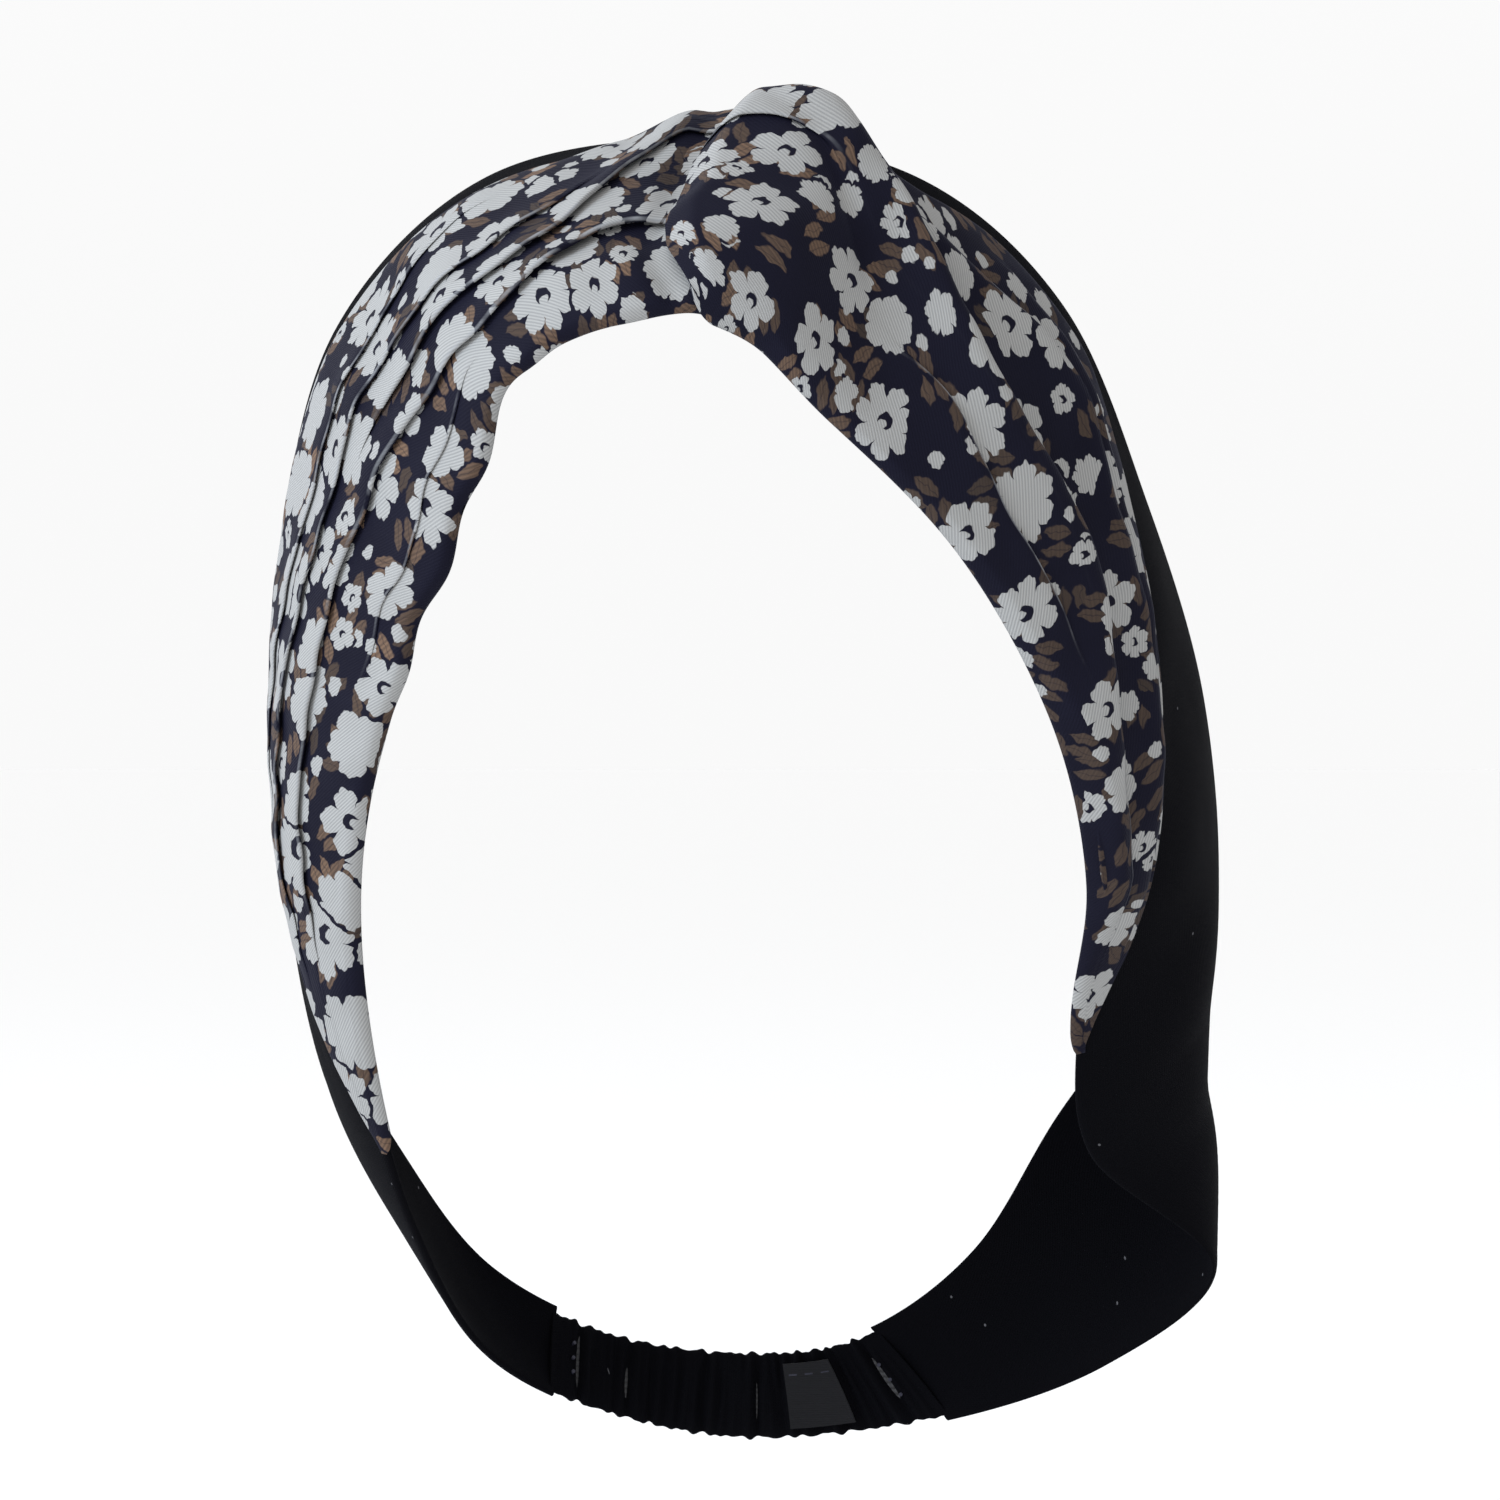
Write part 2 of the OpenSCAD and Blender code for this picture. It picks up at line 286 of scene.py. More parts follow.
def ring_mesh(name, rings, us, vs, capped=True):
    """A closed tube of rings (rows, ring points, xyz) in mm, with cloth UVs in metres.

    us and vs hold one more column than the ring, so the UVs don't wrap at the seam."""
    rows, count = rings.shape[:2]
    verts = (rings.reshape(-1, 3) * MM).tolist()
    faces, uvs = [], []
    for i in range(rows - 1):
        for j in range(count):
            n = (j + 1) % count
            faces.append((i * count + j, i * count + n, (i + 1) * count + n, (i + 1) * count + j))
            for row, col in ((i, j), (i, j + 1), (i + 1, j + 1), (i + 1, j)):
                uvs.append((us[row, col] * MM, vs[row, col] * MM))
    if capped:
        first = list(range(count))[::-1]
        last = [(rows - 1) * count + j for j in range(count)]
        faces += [first, last]
        uvs += [(us[0, j] * MM, vs[0, j] * MM) for j in first]
        uvs += [(us[-1, j] * MM, vs[-1, j] * MM) for j in range(count)]
    mesh = bpy.data.meshes.new(name)
    mesh.from_pydata(verts, [], faces)
    layer = mesh.uv_layers.new(name="cloth")
    layer.data.foreach_set("uv", np.array(uvs, float).ravel())
    mesh.polygons.foreach_set("use_smooth", [True] * len(mesh.polygons))
    face_outwards(mesh)
    piece = bpy.data.objects.new(name, mesh)
    bpy.context.scene.collection.objects.link(piece)
    return piece


def face_outwards(mesh):
    """Turns every face of a closed mesh outwards."""
    work = bmesh.new()
    work.from_mesh(mesh)
    bmesh.ops.recalc_face_normals(work, faces=work.faces)
    work.to_mesh(mesh)
    work.free()


def arc_lengths(rings, seam=None):
    """Arc length round each ring, with the closing column, counted from column 0.

    Columns past the seam are counted backwards from column 0, so they are negative."""
    closed = np.concatenate([rings, rings[:, :1]], axis=1)
    steps = np.linalg.norm(np.diff(closed, axis=1), axis=-1)
    lengths = np.concatenate([np.zeros((len(rings), 1)), np.cumsum(steps, axis=1)], axis=1)
    if seam is not None:
        lengths[:, seam:] -= lengths[:, -1:]
    return lengths


def line_lengths(points):
    """Length from the first point of a line to each of its points, as a column, in mm."""
    steps = np.linalg.norm(np.diff(points, axis=0), axis=-1)
    return np.concatenate([[0], np.cumsum(steps)])[:, None]


def half_turn(count):
    """Angles inside a half circle, without its two ends, as one row."""
    return np.pi * (np.arange(1, count + 1) / (count + 1))[None, :]


def row_lengths(rings):
    """Length along the cloth at each row, in mm: the mean over the ring."""
    steps = np.linalg.norm(np.diff(rings, axis=0), axis=-1).mean(axis=1)
    return np.concatenate([[0.0], np.cumsum(steps)])


# ---------------- pleated strips

class Pleat:
    """A fold that runs along a strip.

    path is [(station, share of the strip's width)], facing 1 when its edge faces the rear
    and -1 when it faces the front, and strength [(station, 0 to 1)]. height, tuck (how far
    the cloth runs back beneath the fold) and span (how far from its edge the cloth starts
    to rise) are in millimetres. roll is how much fuller the cloth is a little way behind
    the edge, as a share of height."""

    def __init__(self, path, facing, strength, height, tuck, span, roll=0.0):
        self.path = path
        self.facing = facing
        self.strength = strength
        self.height = height
        self.tuck = tuck
        self.span = span
        self.roll = roll


# Columns: round a fold's lip, between two folds, round an edge, and on the underside
LIP_POINTS = 6
BETWEEN = 11
EDGE_TURN = 5
UNDER_COLUMNS = 17
# Where plain cloth has its columns, as shares of the way: before the first fold, between
# two folds, and after the last
FIRST_SHARES = np.arange(BETWEEN) / BETWEEN
INNER_SHARES = np.arange(1, BETWEEN + 1) / (BETWEEN + 1)
LAST_SHARES = np.arange(1, BETWEEN + 2) / (BETWEEN + 1)
# The fold's own columns whose print is painted lighter: print wear, and a painted highlight where
# light catches the fold's edge
WEAR_SHEEN_COLUMNS = slice(1, 3)
# Millimetres: where a roll is fullest, a fold's most room, and the width below which a
# strip gets thinner
ROLL_CREST = 4.5
FOLD_ROOM = 3.0
TAIL_FULL_WIDTH = 16.0
# Stations: how long the rounded end of a strip is
NOSE_LENGTH = 0.16
# Millimetres: the front hem above the band's edge, and how far it is rounded past it
HEM_ABOVE = 2.0
HEM_ROUND = 0.8
HEM_INNER_ACROSS = np.array([[0.55, 0.35, 0.15]])
HEM_INNER_HEIGHT = np.array([[0.75, 0.35, 0.08]])


def hairpin(pleat, strength, reach):
    """The fold's cross-section as (distance, height) steps, for each row.

    Without strength it is a flat stretch of cloth; at full strength the upper layer ends
    in a round lip, runs back beneath itself, and turns again into the lower layer."""
    h = pleat.height
    radius = 0.26 * h
    points = []
    for k in range(LIP_POINTS):
        a = math.pi * k / (LIP_POINTS - 1)
        points.append((radius * math.sin(a), h - radius * (1 - math.cos(a))))
    points.append((-0.5 * pleat.tuck, 0.5 * h))
    inner = 0.2 * h
    for k in range(4):
        a = math.pi * k / 3
        points.append((-pleat.tuck - inner * math.sin(a), 0.4 * h * (0.5 + 0.5 * math.cos(a))))
    points.append((-0.5 * pleat.tuck, 0.0))
    points.append((radius * 1.6, 0.0))
    points = np.array(points)
    if pleat.facing < 0:
        points = points[::-1] * (-1, 1)
    flat = np.linspace(-1, 1, len(points))
    across = (1 - strength)[:, None] * flat * reach[:, None]
    across = across + strength[:, None] * points[:, 0]
    height = strength[:, None] * points[:, 1]
    return across, height


def ridge(pleat, across, centre, strength):
    """How the cloth on the upper side swells towards the fold."""
    away = (centre[:, None] - across) * pleat.facing
    side = (away >= -0.05).astype(float)
    away = np.maximum(away, 0)
    upper = np.exp(-(away / pleat.span) ** 2)
    upper = upper + pleat.roll * away / ROLL_CREST * np.exp(1 - away / ROLL_CREST)
    return strength[:, None] * pleat.height * upper * side


def fold_reaches(edges):
    """Half the room that each fold has across the strip, in mm, row by row."""
    halves = []
    for k in range(1, len(edges) - 1):
        gap = np.minimum(edges[k] - edges[k - 1], edges[k + 1] - edges[k])
        halves.append(np.clip(0.3 * gap, 0.02, FOLD_ROOM))
    return halves


def flat_cloth(start, end, shares):
    """Columns of plain cloth from start to end: distances across, heights, and the share of print
    wear and painted highlight.
    """
    across = start[:, None] + (end - start)[:, None] * shares
    return across, np.zeros_like(across), np.zeros_like(across)


def crease_wear_and_sheen(pleat, strength, across):
    """How much a fold's edge is painted lighter, 0 to 1, for each of the fold's columns: print
    wear and a painted highlight.
    """
    worn = np.zeros_like(across)
    worn[:, WEAR_SHEEN_COLUMNS] = strength[:, None] ** 2
    return worn if pleat.facing > 0 else worn[:, ::-1]


def top_profile(t, reach, start, pleats, height):
    """A strip's pleated outer face, row by row: distances across (mm), heights (mm), shares
    of the width, and how much the creases are painted lighter for print wear and a painted
    highlight (0 to 1)."""
    width = band_width(t)
    low, high = start * width, start * width + (reach - start) * width
    span = (reach - start) * width
    centres = [low + span * track(p.path, t, 0.6) for p in pleats]
    powers = [track(p.strength, t) for p in pleats]
    halves = fold_reaches([low] + centres + [high])
    columns, owner = [], []
    end = low
    for k, pleat in enumerate(pleats):
        across, lift = hairpin(pleat, powers[k], halves[k])
        across = across + centres[k][:, None]
        columns.append(flat_cloth(end, across[:, 0], INNER_SHARES if k else FIRST_SHARES))
        columns.append((across, lift, crease_wear_and_sheen(pleat, powers[k], across)))
        owner += [2 * k] * BETWEEN + [2 * k + 1] * across.shape[1]
        end = across[:, -1]
    columns.append(flat_cloth(end, high, LAST_SHARES))
    owner = np.array(owner + [2 * len(pleats)] * len(LAST_SHARES))
    across, lift, worn = (np.concatenate(parts, axis=1) for parts in zip(*columns))
    for k, pleat in enumerate(pleats):
        upper = owner < 2 * k + 1 if pleat.facing > 0 else owner > 2 * k + 1
        lift += ridge(pleat, across, centres[k], powers[k]) * upper
    share = (across - low[:, None]) / np.maximum(span, 1e-6)[:, None]
    return across, lift + height(t[:, None], np.clip(share, 0, 1)), share, worn


def rear_edge(across, top, floor):
    """Half circle from the strip's outer face to its underside at the rear edge."""
    high, low = top[:, -1:], floor[:, -1:]
    mid, half = (high + low) / 2, (high - low) / 2
    a = half_turn(EDGE_TURN)
    return across[:, -1:] + half * 0.9 * np.sin(a), mid + half * np.cos(a)


def underside(t, first, last, under):
    """The strip's underside from its rear edge forwards, down to the band's front edge."""
    hem = np.minimum(HEM_ABOVE, 0.3 * (last - first))
    back = np.linspace(1, 0, UNDER_COLUMNS)[None, :]
    under_a = first + hem + (last - first - hem) * back
    under_n = np.broadcast_to(under(t[:, None], back), (len(t), UNDER_COLUMNS))
    inner_a = first + hem * HEM_INNER_ACROSS
    inner_n = HEM_INNER_HEIGHT * under_n[:, -1:]
    return np.concatenate([under_a, inner_a], axis=1), np.concatenate([under_n, inner_n], axis=1)


def front_edge(first, high):
    """The front edge rolls over the band's edge, from the head side upwards."""
    a = half_turn(EDGE_TURN + 1)[:, ::-1]
    half = high / 2
    return first - HEM_ROUND * np.sin(a), half + half * np.cos(a)


def strip_mesh(name, t, reach, start, pleats, under, height, slide, ripple, cut_from):
    """A closed strip of folded cloth with round edges and a pleated outer face.

    cut_from is where its first row lies along the printed cloth, in millimetres."""
    width = band_width(t)[:, None]
    across, top, share, worn = top_profile(t, reach(t), start(t), pleats, height)
    floor = under(t[:, None], share)
    body = np.clip(np.minimum(share, 1 - share) / 0.06, 0, 1)
    taper = np.clip((reach(t) - start(t))[:, None] * width / TAIL_FULL_WIDTH, 0.12, 1)
    unevenness = ripple(line_lengths(band_point(t, 0.4, 0)), across) * body
    top = floor + (top + unevenness) * taper
    first, last = across[:, :1], across[:, -1:]
    parts = [(across, top), rear_edge(across, top, floor), underside(t, first, last, under),
             front_edge(first, top[:, :1])]
    ring_a, ring_n = (np.concatenate(columns, axis=1) for columns in zip(*parts))
    ring_v = ring_a / width
    ring_t = slide(t[:, None], ring_v)
    rings = band_point(ring_t, ring_v, strip_nose(t, ring_t, ring_v, ring_n, under))
    us = arc_lengths(rings, across.shape[1] + EDGE_TURN + UNDER_COLUMNS // 2)
    vs = np.broadcast_to(cut_from + row_lengths(rings)[:, None], us.shape)
    piece = ring_mesh(name, rings, us, vs)
    # The folds' edges are marked for lighter paint: print wear, and a painted highlight
    marks = np.zeros(rings.shape[:2])
    marks[:, :worn.shape[1]] = worn
    layer = piece.data.attributes.new("worn", "FLOAT", "POINT")
    layer.data.foreach_set("value", marks.ravel())
    return piece


def strip_nose(t, ring_t, ring_v, ring_n, under):
    """Rounds the strip's two ends: outer face and underside meet in a soft nose."""
    floor = under(t[:, None], ring_v)
    begin = np.clip((t - t[0]) / NOSE_LENGTH, 0, 1)
    finish = np.clip((t[-1] - t) / NOSE_LENGTH, 0, 1)
    q = np.minimum(begin, finish)[:, None]
    open_ = np.sqrt(np.clip(1 - (1 - q) ** 2, 0.0004, 1))
    middle = floor + 0.45 * (ring_n.max(axis=1, keepdims=True) - floor).clip(0, 4)
    return middle + (ring_n - middle) * open_


KNOT_EDGE = [(-0.10, 0.02), (0.0, -0.08), (0.12, -0.19), (0.25, -0.20), (0.36, -0.13),
             (0.5, -0.11), (0.65, -0.06), (0.82, 0.0), (1.05, 0.04)]

RIGHT_REACH = [(-0.3, 1.02), (0.1, 1.05), (0.4, 1.05), (0.7, 0.93), (1.0, 0.88), (1.4, 0.90),
               (2.2, 0.88), (3.0, 0.64), (3.6, 0.39), (4.0, 0.26), (4.4, 0.16), (4.8, 0.07),
               (5.15, 0.0)]
LEFT_REACH = [(-6.4, 0.0), (-6.0, 0.12), (-5.5, 0.28), (-5.0, 0.42), (-4.0, 0.68),
              (-3.0, 0.82), (-2.0, 0.88), (-1.4, 0.85), (-1.0, 0.80), (-0.65, 0.80),
              (-0.38, 0.94), (0.3, 1.02)]

RIGHT_PLEATS = [
    Pleat([(0.8, 0.34), (1.4, 0.26), (1.75, 0.17), (2.05, 0.12), (2.6, 0.11), (3.2, 0.08),
           (3.9, 0.05)], 1,
          [(1.0, 0), (1.4, 0.8), (2.4, 0.8), (2.9, 0)], 1.5, 2.2, 5.0, 0.6),
    Pleat([(-0.1, 0.62), (0.1, 0.66), (0.3, 0.66), (0.5, 0.62), (0.7, 0.55), (1.0, 0.46),
           (1.5, 0.34), (2.1, 0.25), (2.7, 0.2), (3.9, 0.1)], -1,
          [(-0.1, 0.9), (0.3, 0.8), (0.6, 0)], 1.3, 3.0, 6.0),
    Pleat([(-0.1, 0.86), (0.2, 0.84), (0.4, 0.83), (0.55, 0.83), (0.7, 0.84), (0.8, 0.80),
           (0.95, 0.74), (1.1, 0.65), (1.3, 0.52), (1.65, 0.41), (1.95, 0.37), (2.4, 0.36),
           (2.65, 0.35), (2.85, 0.27), (3.2, 0.19), (3.55, 0.16), (3.9, 0.14)], 1,
          [(-0.1, 0.2), (0.15, 0.8), (0.5, 1), (1.6, 1), (2.6, 0.9), (3.9, 0.6), (4.4, 0)],
          3.8, 6.0, 14.0, 0.8),
    Pleat([(0.0, 0.98), (0.8, 0.92), (1.0, 0.84), (1.2, 0.76), (1.4, 0.73), (1.7, 0.76),
           (2.0, 0.78), (2.2, 0.74), (2.4, 0.67), (2.7, 0.66), (3.0, 0.68), (4.0, 0.7)], 1,
          [(0.9, 0), (1.15, 0.9), (3.0, 0.9), (4.2, 0.6), (4.7, 0)], 2.5, 4.0, 6.0, 0.9),
    Pleat([(0.0, 0.99), (1.0, 0.93), (1.9, 0.90), (2.2, 0.87), (2.4, 0.82), (2.7, 0.82),
           (3.0, 0.86), (4.0, 0.88)], 1,
          [(1.4, 0), (2.0, 0.8), (3.2, 0.8), (3.9, 0)], 1.6, 2.6, 4.0, 0.5)]

LEFT_PLEATS = [
    Pleat([(-3.5, 0.12), (-2.5, 0.08), (-1.8, 0.10), (-1.4, 0.11), (0.0, 0.12)], -1,
          [(-3.4, 0), (-2.6, 0.7), (-1.7, 0.7), (-1.2, 0)], 1.0, 1.8, 4.0),
    Pleat([(-5.0, 0.38), (-3.5, 0.36), (-2.6, 0.33), (-2.0, 0.29), (-1.7, 0.25),
           (-1.5, 0.22), (-1.3, 0.17), (-1.0, 0.17), (-0.8, 0.20), (-0.67, 0.29),
           (-0.5, 0.33), (-0.3, 0.36), (-0.1, 0.30)], -1,
          [(-5.2, 0), (-4.6, 0.6), (-1.2, 0.7), (-0.75, 1), (-0.3, 1), (-0.05, 0.3)],
          2.4, 4.0, 8.0),
    Pleat([(-2.6, 0.44), (-1.9, 0.41), (-1.4, 0.37), (-1.1, 0.35), (-0.85, 0.35),
           (-0.67, 0.44), (-0.5, 0.55), (-0.33, 0.70), (-0.13, 0.88)], -1,
          [(-2.3, 0), (-1.7, 0.8), (-0.4, 1), (0.1, 0.3)], 2.0, 3.5, 7.0),
    Pleat([(-5.0, 0.68), (-3.5, 0.60), (-2.6, 0.50), (-2.3, 0.53), (-2.05, 0.55),
           (-1.75, 0.53), (-1.45, 0.49), (-1.0, 0.50), (-0.7, 0.58), (-0.48, 0.68),
           (-0.1, 0.93)], -1,
          [(-5.4, 0), (-4.4, 0.8), (-0.8, 0.8), (-0.45, 0)], 1.6, 3.0, 6.0),
    Pleat([(-5.0, 0.85), (-3.5, 0.76), (-2.8, 0.68), (-2.5, 0.66), (-2.0, 0.68),
           (-1.5, 0.70), (-1.25, 0.80), (-0.5, 0.86), (-0.1, 0.96)], -1,
          [(-4.6, 0), (-3.4, 0.8), (-1.6, 0.9), (-0.7, 0)], 1.1, 2.5, 5.0)]


def plump(s):
    """Fullness across a strip: thin at its folded edges and full between them."""
    return np.sqrt(np.clip(1 - np.abs(2 * s - 1) ** 3, 0, 1))


def right_under(t, s):
    """The right strip climbs over the left one at the knot and comes down again."""
    return STRIP_UNDER + (PRESSED_T + 0.4) * (1 - ramp(0.35, 0.9, t)) + 0 * s


def right_height(t, s):
    """The knot swells behind its rolled edge; its rear falls off first, its front later."""
    start = ramp(-0.2, 0.02, t)
    knot = start * (1 - ramp(0.35, 1.2, t))
    rear = start * (1 - ramp(0.15, 0.7, t)) * (0.4 + 3.4 * ramp(0.35, 1.0, s))
    valley = 1.6 * np.exp(-((s - 0.80 + 0.42 * t) / 0.07) ** 2)
    valley = valley * ramp(-0.1, 0.15, t) * (1 - ramp(0.7, 1.1, t))
    full = STRIP_T - 2.0 - STRIP_EDGE_T + knot * 4.2 * (1 - ramp(0.6, 1.0, s) * ramp(0.3, 0.7, t))
    return STRIP_EDGE_T + full * plump(s) + rear - valley


def left_under(t, s):
    """The left strip lies on the band, and its rear part climbs towards the knot."""
    return STRIP_UNDER + 5.0 * ramp(-0.42, -0.08, t) * ramp(0.6, 1.0, s)


def left_height(t, s):
    """Full along the side and pressed flat under the knot, with a rolled front bulge."""
    side = STRIP_T - 2.2
    full = side + (1.6 - side) * ramp(-0.5, -0.12, t)
    roll = 2.0 * np.exp(-((s - 0.15) / 0.12) ** 2) * ramp(-1.3, -0.8, t)
    roll = roll * (1 - 0.8 * ramp(-0.3, -0.05, t))
    beside_knot = t - track(KNOT_EDGE, s, 0.1) + 0.07
    groove = 1.1 * np.exp(-(beside_knot / 0.08) ** 2)
    return STRIP_EDGE_T - 0.3 + (full - STRIP_EDGE_T + 0.3) * plump(s) + roll - groove


def right_start(t):
    """The front edge wraps the band's edge, and hangs a little lower near the knot."""
    return -0.3 / band_width(t) - 0.03 * (1 - ramp(0.0, 0.5, t))


def left_start(t):
    """The front edge wraps the band's edge, sags at the knot and has small lumps."""
    lumps = 0.016 * np.sin(9.0 * t + 1.0) * ramp(-3.6, -2.6, t) * (1 - ramp(-1.2, -0.7, t))
    sag = -0.045 * ramp(-1.7, -0.7, t) * (1 - ramp(-0.45, 0.05, t))
    return -0.4 / band_width(t) + sag + lumps


def right_slide(t, v):
    """Skews the rows near the knot so that the first row follows the rolled fold."""
    edge = track(KNOT_EDGE, v, 0.1)
    first = -0.12
    fade = 1 - ramp(first, 0.75, t)
    return t + (edge - first) * fade


def make_strip_right():
    """The strip that crosses on top, from its rolled fold in the knot down to its tail."""
    near = np.linspace(-0.12, 0.1, 34)
    far = np.linspace(0.1, 5.2, 250)[1:]
    piece = strip_mesh(
        "printed_strip_right", np.concatenate([near, far]),
        lambda t: track(RIGHT_REACH, t, 0.2), right_start, RIGHT_PLEATS,
        right_under, right_height, right_slide, Ripple(SEED, (23, 31, 17, 41, 12), 0.30), 0.0)
    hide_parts("front_strip_right")
    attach(piece, "front")
    return piece


def make_strip_left():
    """The strip that passes beneath the knot and runs down the left side."""
    piece = strip_mesh(
        "printed_strip_left", np.linspace(-6.38, 0.25, 300),
        lambda t: track(LEFT_REACH, t, 0.2), left_start, LEFT_PLEATS,
        left_under, left_height, lambda t, v: t + 0 * v,
        Ripple(SEED + 1, (21, 33, 15, 44, 12), 0.30), -270.0)
    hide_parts("front_strip_left")
    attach(piece, "front")
    return piece


# ---------------- jersey band and casing

def panel_mesh(name, t0, t1, ripple):
    """Folded jersey, two layers, with rounded edges and soft unevenness."""
    t = np.linspace(t0, t1, PANEL_ROWS)
    s = np.linspace(0, 1, PANEL_COLUMNS)
    width = band_width(t)[:, None]
    along_mm = line_lengths(band_point(t, 0.5, 0))
    half = PANEL_T / 2
    inset = half / width
    v = inset + (1 - 2 * inset) * s
    wave = ripple(along_mm, v * width) * np.sin(np.pi * s) ** 0.5
    ends = np.minimum(ramp(0, 0.25, t - t[0]), ramp(0, 0.25, t[-1] - t))[:, None]
    wave = np.maximum(wave * ends, -0.25)
    a = half_turn(EDGE_TURN)
    rear_v = v[:, -1:] + inset * np.sin(a)
    rear_n = half + half * np.cos(a) + np.zeros((PANEL_ROWS, 1))
    front_v = v[:, :1] - inset * np.sin(a[:, ::-1])
    front_n = half + half * np.cos(a[:, ::-1]) + np.zeros((PANEL_ROWS, 1))
    ring_v = np.concatenate([v, rear_v, v[:, ::-1], front_v], axis=1)
    ring_n = np.concatenate([PANEL_T + wave, rear_n, (wave * 0.8)[:, ::-1], front_n], axis=1)
    rings = band_point(t[:, None], ring_v, ring_n)
    us = arc_lengths(rings)
    vs = np.broadcast_to(row_lengths(rings)[:, None], us.shape)
    return ring_mesh(name, rings, us, vs)


PANEL_ROWS, PANEL_COLUMNS = 230, 40


def make_panel(side):
    """One half of the jersey band, which stretches between the front and the nape."""
    if side > 0:
        name, t0, t1 = "right", CROWN_GAP, CASING_RIGHT - SEW_GAP + SEWN_OVERLAP
    else:
        name, t0, t1 = "left", CASING_LEFT + SEW_GAP - SEWN_OVERLAP - len(STATIONS), -CROWN_GAP
    piece = panel_mesh("jersey_panel_" + name, t0, t1, Ripple(SEED + 3 + side, (48, 37, 29), 0.5))
    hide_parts("back_panel_" + name)
    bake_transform(piece)
    return piece


CASING_ROWS, CASING_SIDES = 330, 64
CASING_INSET = 1.2
GATHER_LIFT = 0.9
# The gathers, as (wavelength, height) in millimetres
GATHERS = [(2.6, 0.34), (3.7, 0.40), (5.3, 0.34), (1.9, 0.14)]


def gathered(length, a):
    """Height of the gathers along the casing and round it, in mm; none at its two ends."""
    rng = np.random.default_rng(SEED + 9)
    total = np.zeros((CASING_ROWS, CASING_SIDES))
    for wavelength, height in GATHERS:
        phase = rng.uniform(0, 2 * np.pi)
        drift = rng.uniform(-0.6, 0.6)
        bend = 0.9 * np.sin(a + rng.uniform(0, 2 * np.pi)) + drift * np.cos(2 * a)
        total += height * np.sin(2 * np.pi * length / wavelength + phase + bend)
    return total * np.minimum(ramp(0, 3, length), ramp(0, 3, length[-1] - length))


def make_casing():
    """The gathered tube at the nape: cloth ruched on elastic."""
    t = np.linspace(CASING_RIGHT, CASING_LEFT, CASING_ROWS)
    width = band_width(t)[:, None]
    a = np.linspace(0, 2 * np.pi, CASING_SIDES, endpoint=False)[None, :]
    gathers = gathered(line_lengths(band_point(t, 0.5, 0)), a)
    half_v = width / 2 - CASING_INSET
    half_n = CASING_HALF - GATHER_LIFT
    wall = CASING_WALL * 0.55
    outer_v = 0.5 + (half_v + gathers * 0.45) * np.cos(a) / width
    outer_n = CASING_MID + (half_n + gathers) * np.sin(a)
    inner_v = 0.5 + (half_v - wall + gathers * 0.3) * np.cos(a) / width
    inner_n = CASING_MID + (half_n - wall + gathers * 0.6) * np.sin(a)
    outer = band_point(t[:, None], outer_v, outer_n)
    inner = band_point(t[:, None], inner_v, inner_n)
    rings = np.concatenate([outer, inner[::-1], outer[:1]], axis=0)
    us = arc_lengths(rings)
    vs = np.broadcast_to(row_lengths(rings)[:, None], us.shape)
    piece = ring_mesh("ruched_casing", rings[:-1], us, vs, capped=False)
    close_tube(piece, CASING_ROWS * 2, CASING_SIDES)
    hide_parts("nape_casing")
    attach(piece, "nape")
    return piece


def close_tube(piece, rows, sides):
    """Joins the last ring of an open tube back to its first ring."""
    mesh = piece.data
    bm = bmesh.new()
    bm.from_mesh(mesh)
    bm.verts.ensure_lookup_table()
    layer = bm.loops.layers.uv.active
    last = (rows - 1) * sides
    for j in range(sides):
        n = (j + 1) % sides
        face = bm.faces.new([bm.verts[k] for k in (last + j, last + n, n, j)])
        face.smooth = True
        for loop, u in zip(face.loops, (j, j + 1, j + 1, j)):
            loop[layer].uv = (u * 0.6 * MM, 0.0)
    bmesh.ops.recalc_face_normals(bm, faces=bm.faces)
    bm.to_mesh(mesh)
    bm.free()


# ---------------- materials

